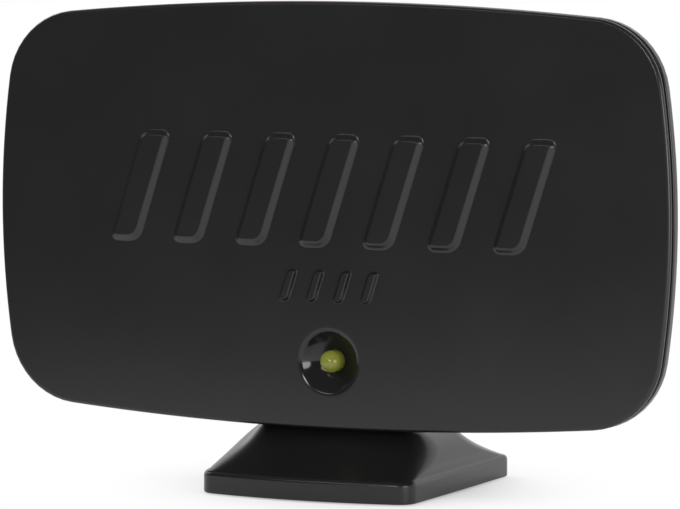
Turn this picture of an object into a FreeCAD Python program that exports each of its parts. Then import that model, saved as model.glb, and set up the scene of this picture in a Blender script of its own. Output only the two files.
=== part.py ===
"""Indoor TV antenna: a moulded panel with its amplifier and radiators, on a low flared stand.

Millimetres. +Z is up, the panel's face looks along -Y, and +X is to the viewer's right.
The origin is under the middle of the stand, on the surface that the feet rest on.
"Depth" is measured backwards (+Y) from the panel's face.
"""
import FreeCAD, Part
import math
import os

V = FreeCAD.Vector

# Panel: outline of four shallow arcs with round corners
PANEL_WIDTH = 163.2
PANEL_HEIGHT = 94.8
PANEL_SIDE_RADIUS = 209.0
PANEL_TOP_RADIUS = 725.0
PANEL_CORNER_RADIUS = 17.4
PANEL_FACE_Y = -17.5
PANEL_EDGE_ABOVE_STAND = 0.3

# Panel: mouldings, as depths from the face
COVER_WALL = 2.0
FRONT_DEPTH = 3.2
FRONT_EDGE_RADIUS = 0.8
FRONT_EDGE_STEPS = 1
GROOVE_WIDTH = 0.8
FLANGE_THICKNESS = 1.6
LIP_HEIGHT = 1.0
LIP_THICKNESS = 1.2
LIP_CLEARANCE = 0.15
BACK_DEPTH = 22.0
BACK_INSET = 9.0
BACK_DRAFT = 4.5
BACK_EDGE_RADIUS = 3.0
BACK_EDGE_STEPS = 1

# Lamp in its dish; the dish sits a little right of the panel's middle
LAMP_X = 1.0
LAMP_BELOW_MIDDLE = 32.4
DISH_RADIUS = 6.9
DISH_DEPTH = 4.2
DISH_LIP_BEVEL = 0.7
DISH_WALL = 1.6
LAMP_DIAMETER = 5.0
LAMP_HOLE_CLEARANCE = 0.15
LAMP_LENGTH = 7.4
LAMP_PROUD = -0.5
LAMP_DOME_STEPS = 2
LEAD_WIDTH = 0.5
LEAD_SPACING = 2.54
LEAD_TAIL = 1.4
LEAD_CLEARANCE = 0.15

# Raised relief on the face: a row of slanted bars over a short row of small ones
RELIEF_HEIGHT = 0.9
RELIEF_EDGE_BEVEL = 0.5
RELIEF_SLANT = 18.0
BAR_COUNT = 7
BAR_WIDTH = 8.0
BAR_PITCH = 15.6
BAR_HEIGHT = 25.5
BAR_ABOVE_MIDDLE = 5.6
DASH_COUNT = 4
DASH_WIDTH = 2.8
DASH_PITCH = 6.6
DASH_HEIGHT = 7.6
DASH_BELOW_MIDDLE = 15.6

# Countersunk screws and the holes that they use
PILOT_CLEARANCE = 0.05
SCREW_CLEARANCE = 0.2
SCREW_TIP_ROOM = 1.0
CASE_SCREW = dict(shank=2.6, head=5.4, head_height=1.5, length=12.0)
STAND_SCREW = dict(shank=3.0, head=6.0, head_height=1.7, length=21.0)

# Case fixing: posts under the front cover reach the rear cover's wall
CASE_SCREW_X = 58.0
POST_WIDTH = 6.6

# Circuit board and what it carries
BOARD_WIDTH = 42.0
BOARD_HEIGHT = 40.0
BOARD_THICKNESS = 1.6
BOARD_DEPTH = 8.2
BOARD_BELOW_LAMP = 2.4
BOARD_PEG_X = 16.5
BOARD_PEG_FROM_BOTTOM = 14.0
BOSS_WIDTH = 5.6
PEG_WIDTH = 2.4
PEG_PROUD = 0.8
PEG_CLEARANCE = 0.1
CAN_WIDTH = 21.0
CAN_HEIGHT = 13.0
CAN_DEPTH = 3.8
CAN_SHEET = 0.4
CAN_ABOVE_LAMP = 16.0
CHIP_WIDTH = 5.0
CHIP_HEIGHT = 4.0
CHIP_THICKNESS = 1.2
BALUN_WIDTH = 7.0
BALUN_HEIGHT = 5.0
BALUN_THICKNESS = 4.0
BALUN_ABOVE_LAMP = 31.0
CAPACITOR_COUNT = 4
CAPACITOR_LENGTH = 2.0
CAPACITOR_WIDTH = 1.25
CAPACITOR_THICKNESS = 0.8
CAPACITOR_PITCH = 4.6
CAPACITOR_ABOVE_LAMP = 6.2

# Radiators: a pair of stamped sheets that widen away from the board
SHEET_THICKNESS = 0.5
FEED_OVERLAP = 3.5
FEED_HALF_HEIGHT = 4.5
FEED_LENGTH = 7.0
SHEET_REACH = 53.0
SHEET_HALF_HEIGHT = 26.0
SHEET_SHOULDER = 13.0
SHEET_PEG_X = 40.0

# Aerial socket in the back, 3/8 inch thread
COAX_ABOVE_LAMP = 17.0
COAX_DIAMETER = 9.5
COAX_SHANK_DIAMETER = 9.0
COAX_SHANK_BEYOND_NUT = 0.3
COAX_REACH = 11.0
COAX_HOLE_CLEARANCE = 0.1
COAX_BORE_DIAMETER = 6.8
COAX_FLANGE_FLATS = 11.0
COAX_FLANGE_THICKNESS = 2.4
COAX_NUT_FLATS = 11.1
COAX_NUT_THICKNESS = 2.5
COAX_END_RECESS = 0.8
CONTACT_WIDTH = 1.2
CONTACT_RECESS = 1.2
CONTACT_FIT = 0.05

# Stand: upright rim, concave front and back, swelling sides, bevelled ridges, neck under the panel
STAND_WIDTH = 51.6
STAND_LENGTH = 62.8
STAND_HEIGHT = 14.3
STAND_FRONT_RADIUS = 110.0
STAND_WALL = 2.0
RIM_CORNER_RADIUS = 2.8
RIDGE_RADIUS = 5.5
RIM_TOP = 5.4
RIM_EDGE_DROP = 0.8
RIM_EDGE_SHARE = 0.05
NECK_WIDTH = 39.0
NECK_FRONT = 14.5
NECK_BACK = 11.5
NECK_ROOF = 3.0
FRONT_FLARE_POWER = 1.5
SIDE_SWELL_POWER = 2.0
SIDE_LEDGE = 0.7
FLARE_STEPS = 4
HOLLOW_STEPS = 1

# Joint of stand and panel: a foot block on the rear cover stands on the neck
FOOT_BLOCK_WIDTH = 36.0
FOOT_BLOCK_BACK_Y = 10.5
FOOT_BLOCK_STEP = 3.0
FOOT_BLOCK_TOP = 36.0
FOOT_BLOCK_FLOOR = 2.5
FOOT_BLOCK_EDGE_BEVEL = 1.5
STAND_SCREW_Y = -1.0
STAND_POST_WIDTH = 7.0
SPIGOT_X = 11.0
SPIGOT_WIDTH = 6.0
SPIGOT_LENGTH = 6.0
SPIGOT_HEIGHT = 5.0
SPIGOT_CLEARANCE = 0.15

# Underside of the stand
FOOT_WIDTH = 9.0
FOOT_LENGTH = 6.0
FOOT_THICKNESS = 1.2
FOOT_RECESS = 0.9
FOOT_FROM_SIDE = 9.3
FOOT_FROM_END = 11.4
FOOT_FIT = 0.1
PLATE_THICKNESS = 2.6
PLATE_CLEARANCE = 0.2
BALLAST_WIDTH = 28.0
BALLAST_LENGTH = 30.0
BALLAST_THICKNESS = 4.6
BALLAST_CLEARANCE = 0.6

# Places that follow from the sizes above
HALF_WIDTH = PANEL_WIDTH / 2
HALF_HEIGHT = PANEL_HEIGHT / 2
PANEL_Z = STAND_HEIGHT + PANEL_EDGE_ABOVE_STAND + HALF_HEIGHT
FLANGE_FRONT = FRONT_DEPTH + GROOVE_WIDTH
FLANGE_BACK = FLANGE_FRONT + FLANGE_THICKNESS
BACK_INSIDE = BACK_DEPTH - COVER_WALL
LAMP_Z = PANEL_Z - LAMP_BELOW_MIDDLE
LAMP_BASE = LAMP_LENGTH - LAMP_PROUD
BOARD_BACK = BOARD_DEPTH + BOARD_THICKNESS
BOARD_BOTTOM = LAMP_Z - BOARD_BELOW_LAMP
COAX_Z = LAMP_Z + COAX_ABOVE_LAMP
COAX_END = BACK_DEPTH + COAX_REACH
RIM_BOTTOM = FOOT_THICKNESS - FOOT_RECESS
PLATE_TOP = RIM_BOTTOM + PLATE_THICKNESS
FOOT_X = STAND_WIDTH / 2 - FOOT_FROM_SIDE
FOOT_Y = STAND_LENGTH / 2 - FOOT_FROM_END
NECK_INSIDE = STAND_HEIGHT - NECK_ROOF
EMBED = 0.5

BACKWARDS = V(0, 1, 0)
FORWARDS = V(0, -1, 0)
UP = V(0, 0, 1)


def at(x, depth, z):
    """A point of the panel, by its depth behind the face."""
    return V(x, PANEL_FACE_Y + depth, z)


def in_panel(depth):
    """Places outline points in a plane parallel to the panel's face."""
    return lambda u, v: at(u, depth, PANEL_Z + v)


def pillow_outline(half_width, half_height, side_radius, top_radius, corner_radius, place):
    """Closed outline of four bowed sides, tangent to round corners."""
    side_centre = half_width - side_radius
    top_centre = half_height - top_radius
    to_side = side_radius - corner_radius
    to_top = top_radius - corner_radius
    span = math.hypot(side_centre, top_centre)
    along = (to_side ** 2 - to_top ** 2 + span ** 2) / (2 * span)
    off = math.sqrt(to_side ** 2 - along ** 2)
    unit_u, unit_v = -side_centre / span, top_centre / span
    corner_u = side_centre + along * unit_u - off * unit_v
    corner_v = along * unit_v + off * unit_u
    side_angle = math.atan2(corner_v, corner_u - side_centre)
    top_angle = math.atan2(corner_v - top_centre, corner_u)
    middle_angle = (side_angle + top_angle) / 2

    def on_corner(angle):
        return corner_u + corner_radius * math.cos(angle), corner_v + corner_radius * math.sin(angle)

    side_u, side_v = on_corner(side_angle)
    mid_u, mid_v = on_corner(middle_angle)
    top_u, top_v = on_corner(top_angle)
    arcs = [
        ((side_u, -side_v), (half_width, 0), (side_u, side_v)),
        ((side_u, side_v), (mid_u, mid_v), (top_u, top_v)),
        ((top_u, top_v), (0, half_height), (-top_u, top_v)),
        ((-top_u, top_v), (-mid_u, mid_v), (-side_u, side_v)),
        ((-side_u, side_v), (-half_width, 0), (-side_u, -side_v)),
        ((-side_u, -side_v), (-mid_u, -mid_v), (-top_u, -top_v)),
        ((-top_u, -top_v), (0, -half_height), (top_u, -top_v)),
        ((top_u, -top_v), (mid_u, -mid_v), (side_u, -side_v)),
    ]
    return Part.Wire([Part.Arc(*[place(u, v) for u, v in arc]).toShape() for arc in arcs])


def panel_outline(inset, depth):
    """The panel's outline, moved inwards by an even inset."""
    return pillow_outline(
        HALF_WIDTH - inset, HALF_HEIGHT - inset, PANEL_SIDE_RADIUS - inset,
        PANEL_TOP_RADIUS - inset, PANEL_CORNER_RADIUS - inset, in_panel(depth))


def soft_edge(radius, steps):
    """Insets and setbacks of a round edge, as narrow bevels from the face to the wall."""
    angles = [math.pi / 2 * step / steps for step in range(steps + 1)]
    return [(radius * (1 - math.sin(angle)), radius * (1 - math.cos(angle))) for angle in angles]


def panel_slab(inset, start, end):
    """A slab of the panel's outline between two depths."""
    return Part.Face(panel_outline(inset, start)).extrude(V(0, end - start, 0))


def edges_at(shape, axis, value):
    """The edges of a shape that lie wholly in one plane across an axis."""
    low, high = axis + "Min", axis + "Max"
    found = []
    for edge in shape.Edges:
        box = edge.BoundBox
        if abs(getattr(box, low) - value) < 1e-4 and abs(getattr(box, high) - value) < 1e-4:
            found.append(edge)
    return found


def rod(diameter, start, length, direction):
    """A round bar or hole."""
    return Part.makeCylinder(diameter / 2, length, start, direction)


def block(width, depth_from, depth_to, height, x, z):
    """A block in the panel, centred on x and z, between two depths."""
    return Part.makeBox(width, depth_to - depth_from, height, at(x - width / 2, depth_from, z - height / 2))


def hexagon(flats, start, length):
    """A six-sided bar along +Y."""
    radius = flats / math.sqrt(3)
    corners = []
    for step in range(7):
        angle = math.radians(60 * step)
        corners.append(start + V(radius * math.cos(angle), 0, radius * math.sin(angle)))
    return Part.Face(Part.makePolygon(corners)).extrude(V(0, length, 0))


def screw(sizes, top, direction):
    """A countersunk screw with its flat top at a point and its shank along the direction."""
    head = Part.makeCone(sizes["head"] / 2, sizes["shank"] / 2, sizes["head_height"], top, direction)
    return head.fuse(rod(sizes["shank"], top, sizes["length"], direction)).removeSplitter()


def screw_hole(sizes, top, length, direction):
    """The free hole through what a screw clamps, with room for its head."""
    head_radius = sizes["head"] / 2 + SCREW_CLEARANCE
    hole_radius = sizes["shank"] / 2 + SCREW_CLEARANCE
    sink = Part.makeCone(head_radius, hole_radius, sizes["head_height"], top, direction)
    return sink.fuse(rod(2 * hole_radius, top, length, direction))


def pilot_hole(sizes, top, clamped, direction):
    """The blind hole that a screw cuts into, beyond the thickness that it clamps."""
    length = sizes["length"] - clamped + SCREW_TIP_ROOM
    return rod(sizes["shank"] + 2 * PILOT_CLEARANCE, top + direction * clamped, length, direction)


def mirrored_places(x, z_values):
    """Left and right copies of a place, at each height."""
    return [(side * x, z) for side in (-1, 1) for z in z_values]


CASE_PLACES = mirrored_places(CASE_SCREW_X, (PANEL_Z,))
BOARD_PEG_PLACES = mirrored_places(BOARD_PEG_X, (BOARD_BOTTOM + BOARD_PEG_FROM_BOTTOM,))
SHEET_PEG_PLACES = mirrored_places(SHEET_PEG_X, (PANEL_Z,))
LEAD_PLACES = [(LAMP_X + side * LEAD_SPACING / 2, LAMP_Z) for side in (-1, 1)]
STAND_SCREW_TOP = V(0, STAND_SCREW_Y, RIM_BOTTOM)
FOOT_PLACES = {
    "front_left": V(-FOOT_X, -FOOT_Y, 0),
    "front_right": V(FOOT_X, -FOOT_Y, 0),
    "back_left": V(-FOOT_X, FOOT_Y, 0),
    "back_right": V(FOOT_X, FOOT_Y, 0),
}


def slanted_bar(x, z, width, height):
    """One raised bar of the relief, with a bevelled top edge."""
    lean = math.tan(math.radians(RELIEF_SLANT)) * height / 2
    corners = [(-width / 2 - lean, -height / 2), (width / 2 - lean, -height / 2),
               (width / 2 + lean, height / 2), (-width / 2 + lean, height / 2)]
    points = [at(x + u, -RELIEF_HEIGHT, z + v) for u, v in corners]
    bar = Part.Face(Part.makePolygon(points + points[:1])).extrude(V(0, RELIEF_HEIGHT + EMBED, 0))
    return bar.makeChamfer(RELIEF_EDGE_BEVEL, edges_at(bar, "Y", PANEL_FACE_Y - RELIEF_HEIGHT))


def relief_row(count, pitch, z, width, height):
    """An even row of bars, centred over the lamp."""
    first = LAMP_X - pitch * (count - 1) / 2
    return [slanted_bar(first + pitch * step, z, width, height) for step in range(count)]


def lamp_dish(cover):
    """Sinks the lamp's round dish into the front cover, in a cup with the lamp's hole."""
    hole_radius = LAMP_DIAMETER / 2 + LAMP_HOLE_CLEARANCE
    cup_depth = DISH_DEPTH + DISH_WALL
    cup = block(2 * DISH_RADIUS, COVER_WALL - EMBED, cup_depth, 2 * DISH_RADIUS, LAMP_X, LAMP_Z)
    ball_radius = (DISH_RADIUS ** 2 + DISH_DEPTH ** 2) / (2 * DISH_DEPTH)
    cover = cover.fuse(cup).cut(Part.makeSphere(ball_radius, at(LAMP_X, DISH_DEPTH - ball_radius, LAMP_Z)))
    lip = [edge for edge in edges_at(cover, "Y", PANEL_FACE_Y) if edge.Curve.TypeId == "Part::GeomCircle"
           and abs(edge.Curve.Radius - DISH_RADIUS) < 1e-4]
    cover = cover.makeChamfer(DISH_LIP_BEVEL, lip)
    return cover.cut(rod(2 * hole_radius, at(LAMP_X, 0, LAMP_Z), cup_depth + EMBED, BACKWARDS))


def make_front_cover():
    """Shell with a soft front edge, the lamp dish, the relief and two screw posts."""
    rounding = soft_edge(FRONT_EDGE_RADIUS, FRONT_EDGE_STEPS)
    outlines = [panel_outline(inset, setback) for inset, setback in rounding]
    cover = Part.makeLoft(outlines + [panel_outline(0, FRONT_DEPTH)], True, True)
    cover = lamp_dish(cover.cut(panel_slab(COVER_WALL, COVER_WALL, FRONT_DEPTH + EMBED)))
    bars = relief_row(BAR_COUNT, BAR_PITCH, PANEL_Z + BAR_ABOVE_MIDDLE, BAR_WIDTH, BAR_HEIGHT)
    bars += relief_row(DASH_COUNT, DASH_PITCH, PANEL_Z - DASH_BELOW_MIDDLE, DASH_WIDTH, DASH_HEIGHT)
    post_front = COVER_WALL - EMBED
    posts = [block(POST_WIDTH, post_front, BACK_INSIDE, POST_WIDTH, x, z) for x, z in CASE_PLACES]
    cover = cover.fuse(bars + posts)
    holes = [pilot_hole(CASE_SCREW, at(x, BACK_DEPTH, z), COVER_WALL, FORWARDS) for x, z in CASE_PLACES]
    return cover.cut(holes).removeSplitter()


def back_inset(depth):
    """How far the drafted back lies inside the panel's outline at a depth."""
    return BACK_INSET + BACK_DRAFT * (depth - FLANGE_BACK) / (BACK_DEPTH - FLANGE_BACK)


def raised_back():
    """The drafted block behind the flange, with a soft back edge."""
    outlines = [panel_outline(back_inset(FLANGE_BACK - EMBED), FLANGE_BACK - EMBED)]
    for inset, setback in reversed(soft_edge(BACK_EDGE_RADIUS, BACK_EDGE_STEPS)):
        depth = BACK_DEPTH - setback
        outlines.append(panel_outline(inset + back_inset(depth), depth))
    return Part.makeLoft(outlines, True, True)


def back_hollow(front):
    """The room inside the raised back, from a depth in front of the flange."""
    outlines = [panel_outline(COVER_WALL + back_inset(depth), depth) for depth in (front, BACK_INSIDE)]
    return Part.makeLoft(outlines, True, True)


def foot_block(width, wall, front):
    """The wedge under the raised back that stands on the stand's neck, less a wall all round."""
    bottom = STAND_HEIGHT + (FOOT_BLOCK_FLOOR if wall else 0)
    back = FOOT_BLOCK_BACK_Y - wall
    step = STAND_HEIGHT + FOOT_BLOCK_STEP
    panel_back = PANEL_FACE_Y + BACK_DEPTH - wall
    half = width / 2 - wall
    profile = [(front, bottom), (back, bottom), (back, step), (panel_back, FOOT_BLOCK_TOP),
               (front, FOOT_BLOCK_TOP)]
    points = [V(-half, y, z) for y, z in profile]
    return Part.Face(Part.makePolygon(points + points[:1])).extrude(V(2 * half, 0, 0))


def make_rear_cover():
    """Shell with a locating lip, raised back, foot block, bosses with pegs, and a screw post."""
    foot = foot_block(FOOT_BLOCK_WIDTH, 0, PANEL_FACE_Y + FLANGE_BACK - EMBED)
    corners = [edge for edge in foot.Edges if edge.BoundBox.XLength < 1e-6 and edge.BoundBox.ZLength > EMBED
               and edge.BoundBox.YMin > PANEL_FACE_Y + FLANGE_BACK]
    foot = foot.makeChamfer(FOOT_BLOCK_EDGE_BEVEL, corners)
    cover = panel_slab(0, FLANGE_FRONT, FLANGE_BACK).fuse([raised_back(), foot])
    lip_front = FRONT_DEPTH - LIP_HEIGHT
    lip_inset = COVER_WALL + LIP_CLEARANCE
    lip = panel_slab(lip_inset, lip_front, FLANGE_FRONT + EMBED)
    lip = lip.cut(panel_slab(lip_inset + LIP_THICKNESS, lip_front, FLANGE_FRONT))
    hollow_front = lip_front - EMBED
    cover = cover.fuse(lip).cut([back_hollow(hollow_front),
                                 foot_block(FOOT_BLOCK_WIDTH, COVER_WALL, PANEL_FACE_Y + hollow_front)])
    solids = []
    for x, z in BOARD_PEG_PLACES:
        solids += boss(x, z, BOARD_BACK, BOARD_DEPTH)
    for x, z in SHEET_PEG_PLACES:
        solids += boss(x, z, BOARD_DEPTH, BOARD_DEPTH - SHEET_THICKNESS)
    solids.append(stand_post(STAND_HEIGHT, RIM_BOTTOM + STAND_SCREW["length"] + 2 * SCREW_TIP_ROOM))
    cover = cover.fuse(solids)
    holes = [screw_hole(CASE_SCREW, at(x, BACK_DEPTH, z), COVER_WALL, FORWARDS) for x, z in CASE_PLACES]
    holes.append(pilot_hole(STAND_SCREW, STAND_SCREW_TOP, STAND_HEIGHT - RIM_BOTTOM, UP))
    holes.append(rod(COAX_DIAMETER + 2 * COAX_HOLE_CLEARANCE, at(0, BACK_INSIDE - EMBED, COAX_Z),
                     COVER_WALL + 2 * EMBED, BACKWARDS))
    return cover.cut(holes + spigots(SPIGOT_CLEARANCE)).removeSplitter()


def boss(x, z, seat, peg_seat):
    """A square boss on the back wall, with a peg through what lies between the two seats."""
    tip = peg_seat - PEG_PROUD
    return [block(BOSS_WIDTH, seat, BACK_INSIDE + EMBED, BOSS_WIDTH, x, z),
            block(PEG_WIDTH, tip, seat + EMBED, PEG_WIDTH, x, z)]


def peg_hole(x, z, start, end):
    """The square hole that a peg passes through."""
    width = PEG_WIDTH + 2 * PEG_CLEARANCE
    return block(width, start, end, width, x, z)


def stand_post(bottom, top):
    """The square post round the stand's screw, between two heights."""
    half = STAND_POST_WIDTH / 2
    return Part.makeBox(2 * half, 2 * half, top - bottom, V(-half, STAND_SCREW_Y - half, bottom))


def spigots(clearance):
    """The two blocks on the neck that locate the panel, or the holes for them."""
    width = SPIGOT_WIDTH + 2 * clearance
    length = SPIGOT_LENGTH + 2 * clearance
    return [Part.makeBox(width, length, SPIGOT_HEIGHT + clearance,
                         V(side * SPIGOT_X - width / 2, STAND_SCREW_Y - length / 2, STAND_HEIGHT))
            for side in (-1, 1)]


def make_screws():
    """Two screws through the rear cover into the front cover's posts, and one up through the stand."""
    screws = [screw(CASE_SCREW, at(x, BACK_DEPTH, z), FORWARDS) for x, z in CASE_PLACES]
    return screws + [screw(STAND_SCREW, STAND_SCREW_TOP, UP)]


def make_led_lens():
    """Turned lamp body, with the bands of its dome as narrow bevels."""
    radius = LAMP_DIAMETER / 2
    dome = [(radius - inset, setback - LAMP_PROUD) for inset, setback in soft_edge(radius, LAMP_DOME_STEPS)]
    profile = dome + [(radius, LAMP_BASE), (0, LAMP_BASE)]
    points = [at(LAMP_X + distance, depth, LAMP_Z) for distance, depth in profile]
    axis = at(LAMP_X, 0, LAMP_Z)
    return Part.Face(Part.makePolygon(points + points[:1])).revolve(axis, BACKWARDS, 360)


def make_led_leads():
    """Two wires from the lamp through the board."""
    length = BOARD_BACK + LEAD_TAIL - LAMP_BASE
    return [block(LEAD_WIDTH, LAMP_BASE, LAMP_BASE + length, LEAD_WIDTH, x, z) for x, z in LEAD_PLACES]


def make_circuit_board():
    """Board on two bosses, with holes for their pegs and the lamp's wires."""
    board = block(BOARD_WIDTH, BOARD_DEPTH, BOARD_BACK, BOARD_HEIGHT, 0, BOARD_BOTTOM + BOARD_HEIGHT / 2)
    holes = [peg_hole(x, z, BOARD_DEPTH, BOARD_BACK) for x, z in BOARD_PEG_PLACES]
    lead_hole = LEAD_WIDTH + 2 * LEAD_CLEARANCE
    holes += [block(lead_hole, BOARD_DEPTH, BOARD_BACK, lead_hole, x, z) for x, z in LEAD_PLACES]
    return board.cut(holes)


def make_shield_can():
    """Folded tin cover over the amplifier, open towards the board."""
    z = LAMP_Z + CAN_ABOVE_LAMP
    outside = block(CAN_WIDTH, BOARD_DEPTH - CAN_DEPTH, BOARD_DEPTH, CAN_HEIGHT, 0, z)
    inside = block(CAN_WIDTH - 2 * CAN_SHEET, BOARD_DEPTH - CAN_DEPTH + CAN_SHEET, BOARD_DEPTH,
                   CAN_HEIGHT - 2 * CAN_SHEET, 0, z)
    return outside.cut(inside)


def make_amplifier_chip():
    """The amplifier, on the board under the can."""
    return block(CHIP_WIDTH, BOARD_DEPTH - CHIP_THICKNESS, BOARD_DEPTH, CHIP_HEIGHT, 0,
                 LAMP_Z + CAN_ABOVE_LAMP)


def make_balun_core():
    """Ferrite core that couples the radiators to the amplifier."""
    return block(BALUN_WIDTH, BOARD_DEPTH - BALUN_THICKNESS, BOARD_DEPTH, BALUN_HEIGHT, 0,
                 LAMP_Z + BALUN_ABOVE_LAMP)


def make_chip_parts():
    """A row of small chip capacitors between the lamp and the can."""
    first = LAMP_X - CAPACITOR_PITCH * (CAPACITOR_COUNT - 1) / 2
    return [block(CAPACITOR_LENGTH, BOARD_DEPTH - CAPACITOR_THICKNESS, BOARD_DEPTH, CAPACITOR_WIDTH,
                  first + CAPACITOR_PITCH * step, LAMP_Z + CAPACITOR_ABOVE_LAMP)
            for step in range(CAPACITOR_COUNT)]


def make_dipole_plate(side):
    """One stamped radiator: a feed tab on the board, widening to its outer edge."""
    inner = BOARD_WIDTH / 2 - FEED_OVERLAP
    knee = inner + FEED_LENGTH
    upper = [(inner, FEED_HALF_HEIGHT), (knee, FEED_HALF_HEIGHT), (knee + SHEET_SHOULDER, SHEET_HALF_HEIGHT),
             (SHEET_REACH, SHEET_HALF_HEIGHT)]
    outline = upper + [(u, -v) for u, v in reversed(upper)]
    points = [at(side * u, BOARD_DEPTH - SHEET_THICKNESS, PANEL_Z + v) for u, v in outline]
    plate = Part.Face(Part.makePolygon(points + points[:1])).extrude(V(0, SHEET_THICKNESS, 0))
    return plate.cut(peg_hole(side * SHEET_PEG_X, PANEL_Z, BOARD_DEPTH - SHEET_THICKNESS, BOARD_DEPTH))


def make_coax_body():
    """Barrel at thread size, on a shank through the nut, with a six-sided flange inside the wall."""
    flange_start = BACK_INSIDE - COAX_FLANGE_THICKNESS
    shank_end = BACK_DEPTH + COAX_NUT_THICKNESS + COAX_SHANK_BEYOND_NUT
    shank = rod(COAX_SHANK_DIAMETER, at(0, flange_start, COAX_Z), shank_end - flange_start, BACKWARDS)
    barrel = rod(COAX_DIAMETER, at(0, shank_end, COAX_Z), COAX_END - shank_end, BACKWARDS)
    flange = hexagon(COAX_FLANGE_FLATS, at(0, flange_start, COAX_Z), COAX_FLANGE_THICKNESS)
    bore = rod(COAX_BORE_DIAMETER, at(0, flange_start, COAX_Z), COAX_END - flange_start, BACKWARDS)
    return barrel.fuse([shank, flange]).cut(bore).removeSplitter()


def make_coax_insulator():
    """Plug of white plastic in the barrel, with a hole for the contact."""
    start = BACK_INSIDE - COAX_FLANGE_THICKNESS
    length = COAX_END - COAX_END_RECESS - start
    plug = rod(COAX_BORE_DIAMETER, at(0, start, COAX_Z), length, BACKWARDS)
    hole_width = CONTACT_WIDTH + 2 * CONTACT_FIT
    return plug.cut(block(hole_width, start, start + length, hole_width, 0, COAX_Z))


def make_coax_contact():
    """Middle contact, from the board to just inside the socket's mouth."""
    end = COAX_END - COAX_END_RECESS - CONTACT_RECESS
    return block(CONTACT_WIDTH, BOARD_BACK, end, CONTACT_WIDTH, 0, COAX_Z)


def make_coax_nut():
    """Six-sided nut that clamps the socket in the wall."""
    start = at(0, BACK_DEPTH, COAX_Z)
    hole = rod(COAX_SHANK_DIAMETER + 2 * PILOT_CLEARANCE, start, COAX_NUT_THICKNESS, BACKWARDS)
    return hexagon(COAX_NUT_FLATS, start, COAX_NUT_THICKNESS).cut(hole)


def flank_prism(ahead, behind, turn):
    """Solid between two flat-sided flanks, turned about the stand's axis."""
    right = [V(distance, -STAND_LENGTH, height) for distance, height in ahead]
    left = [V(-distance, -STAND_LENGTH, height) for distance, height in reversed(behind)]
    prism = Part.Face(Part.makePolygon(right + left + right[:1])).extrude(V(0, 2 * STAND_LENGTH, 0))
    prism.rotate(V(0, 0, 0), UP, turn)
    return prism


def bowed_flank(profile, centre_y):
    """Solid inside a flank that is bowed in plan, turned about the upright axis of its bow."""
    centre = V(0, centre_y, 0)
    points = [centre + V(abs(centre_y) + distance, 0, height) for distance, height in profile]
    points = [centre + UP * profile[0][1]] + points + [centre + UP * profile[-1][1]]
    return Part.Face(Part.makePolygon(points + points[:1])).revolve(centre, UP, 360)


def stand_solid(wall, levels):
    """The stand's form, less a wall, from levels of (share, height): share 0 is the rim and 1 the neck."""
    bow_centre = STAND_FRONT_RADIUS - STAND_LENGTH / 2
    sides, front, back, front_ridges, back_ridges = [], [], [], [], []
    for share, height in levels:
        swell = 1 - share ** SIDE_SWELL_POWER
        ledge = SIDE_LEDGE if share else 0
        half_width = NECK_WIDTH / 2 + (STAND_WIDTH / 2 - ledge - NECK_WIDTH / 2) * swell - wall
        sides.append((half_width, height))
        corner = RIM_CORNER_RADIUS + (RIDGE_RADIUS - RIM_CORNER_RADIUS) * math.sqrt(share)
        for neck, flank, ridges in ((NECK_FRONT, front, front_ridges), (NECK_BACK, back, back_ridges)):
            reach = neck + (STAND_LENGTH / 2 - neck) * (1 - share) ** FRONT_FLARE_POWER - wall
            corner_y = math.sqrt((reach + bow_centre) ** 2 - half_width ** 2) - bow_centre
            flank.append((reach, height))
            ridges.append(((half_width + corner_y) / math.sqrt(2) - corner * (math.sqrt(2) - 1), height))
    solid = flank_prism(sides, sides, 0)
    for other in (bowed_flank(front, bow_centre), bowed_flank(back, -bow_centre),
                  flank_prism(back_ridges, front_ridges, 45), flank_prism(front_ridges, back_ridges, -45)):
        solid = solid.common(other)
    return solid


def flared_levels(bottom, rim_top, top, shares):
    """Levels of an upright rim and of concave flanks up to the neck."""
    return [(0, bottom), (0, rim_top)] + [(share, rim_top + (top - rim_top) * share) for share in shares]


def even_shares(steps):
    """Shares from just above the rim to the neck."""
    return [step / steps for step in range(1, steps + 1)]


def make_stand_body():
    """Moulded shell, open below, with a screw post inside and two spigots on its neck."""
    shares = [RIM_EDGE_SHARE] + even_shares(FLARE_STEPS)
    shell = stand_solid(0, flared_levels(RIM_BOTTOM, RIM_TOP - RIM_EDGE_DROP, STAND_HEIGHT, shares))
    hollow = flared_levels(RIM_BOTTOM - EMBED, RIM_TOP - STAND_WALL, NECK_INSIDE, even_shares(HOLLOW_STEPS))
    shell = shell.cut(stand_solid(STAND_WALL, hollow))
    shell = shell.fuse([stand_post(PLATE_TOP, NECK_INSIDE + EMBED)] + spigots(0))
    return shell.cut(screw_hole(STAND_SCREW, STAND_SCREW_TOP, STAND_HEIGHT, UP)).removeSplitter()


def make_base_plate():
    """Plate that closes the stand, with a sunk screw hole and shallow seats for the feet."""
    plate = stand_solid(STAND_WALL + PLATE_CLEARANCE, [(0, RIM_BOTTOM), (0, PLATE_TOP)])
    cuts = [pad(place + UP * RIM_BOTTOM, FOOT_FIT, FOOT_RECESS) for place in FOOT_PLACES.values()]
    return plate.cut(cuts + [screw_hole(STAND_SCREW, STAND_SCREW_TOP, PLATE_THICKNESS, UP)])


def make_ballast_weight():
    """Steel weight that lies on the base plate, with a slot for the screw post."""
    weight = Part.makeBox(BALLAST_WIDTH, BALLAST_LENGTH, BALLAST_THICKNESS,
                          V(-BALLAST_WIDTH / 2, -BALLAST_LENGTH / 2, PLATE_TOP))
    slot = STAND_POST_WIDTH + 2 * BALLAST_CLEARANCE
    slot_corner = V(-slot / 2, STAND_SCREW_Y - slot / 2, PLATE_TOP)
    return weight.cut(Part.makeBox(slot, slot, BALLAST_THICKNESS, slot_corner))


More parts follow.
